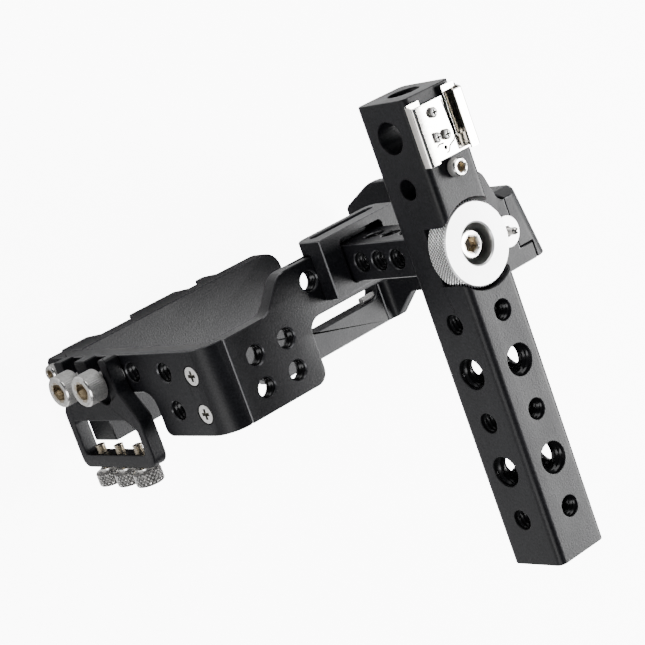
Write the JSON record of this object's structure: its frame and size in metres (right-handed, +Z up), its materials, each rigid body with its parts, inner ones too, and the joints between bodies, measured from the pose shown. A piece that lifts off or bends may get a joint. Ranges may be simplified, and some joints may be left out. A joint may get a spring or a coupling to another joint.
{
  "type": "camera cage with top handle",
  "caption": "Open camera cage of screwed plates with a drilled swivelling top handle on a riser, a cold shoe and a side cable clamp.",
  "frame": {"origin": "on the plane of the feet, under the handle's centre line and half way along the base plate", "axes": "+Z up in use, +Y towards the lens, +X towards the camera grip"},
  "size_m": [0.1495, 0.1392, 0.1392],
  "materials": {
    "black_anodised": "bead-blasted black anodised",
    "black_steel": "blackened",
    "steel": "bright",
    "nickel": "nickel plated, polished",
    "wheel_silver": "machined, clear anodised"
  },
  "bodies": {
    "cage": {"top_plate": "black_anodised", "left_side_plate": "black_anodised", "right_side_plate": "black_anodised", "bottom_plate": "black_anodised", "left_top_screw_1": "steel", "left_top_screw_2": "steel", "left_base_screw_1": "steel", "left_base_screw_2": "steel", "right_top_screw_1": "steel", "right_top_screw_2": "steel", "right_base_screw_1": "steel", "right_base_screw_2": "steel", "clamp_screw_1": "steel", "clamp_screw_2": "steel", "lock_flange": "nickel"},
    "riser": {"riser_arm": "black_anodised", "rail_bracket": "black_anodised", "riser_screw_1": "black_steel", "riser_screw_2": "black_steel"},
    "handle": {"handle_bar": "black_anodised", "cold_shoe": "nickel", "shoe_leaf_spring": "nickel", "shoe_screw_1": "steel", "shoe_screw_2": "steel", "shoe_screw_3": "steel", "shoe_stop_screw": "steel"},
    "wheel": {"thumb_wheel": "wheel_silver", "wheel_bolt": "steel", "wheel_washer": "steel"},
    "cable_clamp": {"cable_clamp": "black_anodised"},
    "cable_thumbscrew_1": {"cable_thumbscrew_1": "steel"},
    "cable_thumbscrew_2": {"cable_thumbscrew_2": "steel"},
    "cable_thumbscrew_3": {"cable_thumbscrew_3": "steel"},
    "lock_pin": {"lock_pin": "nickel"},
    "camera_screw": {"camera_screw": "steel"}
  },
  "joints": [
    {"name": "bracket_slide", "type": "slide", "parent": "cage", "child": "riser", "axis": [1, 0, 0], "range_m": [-0.0055, 0.0055]},
    {"name": "handle_swivel", "type": "hinge", "parent": "riser", "child": "handle", "pos_m": [0, 0.0184, 0.1155], "axis": [0, 0, 1], "range_deg": [-90, 90]},
    {"name": "wheel_turn", "type": "hinge", "parent": "riser", "child": "wheel", "pos_m": [0, 0.0184, 0.1155], "axis": [0, 0, 1], "range_deg": [0, 360]},
    {"name": "cable_clamp_slide", "type": "slide", "parent": "cage", "child": "cable_clamp", "axis": [0, 1, 0], "range_m": [-0.004, 0.003]},
    {"name": "thumbscrew_travel_1", "type": "slide", "parent": "cable_clamp", "child": "cable_thumbscrew_1", "axis": [0, 1, 0], "range_m": [-0.004, 0]},
    {"name": "thumbscrew_travel_2", "type": "slide", "parent": "cable_clamp", "child": "cable_thumbscrew_2", "axis": [0, 1, 0], "range_m": [-0.004, 0]},
    {"name": "thumbscrew_travel_3", "type": "slide", "parent": "cable_clamp", "child": "cable_thumbscrew_3", "axis": [0, 1, 0], "range_m": [-0.004, 0]},
    {"name": "lock_pin_press", "type": "slide", "parent": "cage", "child": "lock_pin", "axis": [0, 0, 1], "range_m": [-0.0012, 0], "stiffness_N_per_m": 300, "springref_m": 0.001},
    {"name": "camera_screw_travel", "type": "slide", "parent": "cage", "child": "camera_screw", "axis": [0, 0, 1], "range_m": [0, 0.005]}
  ]
}
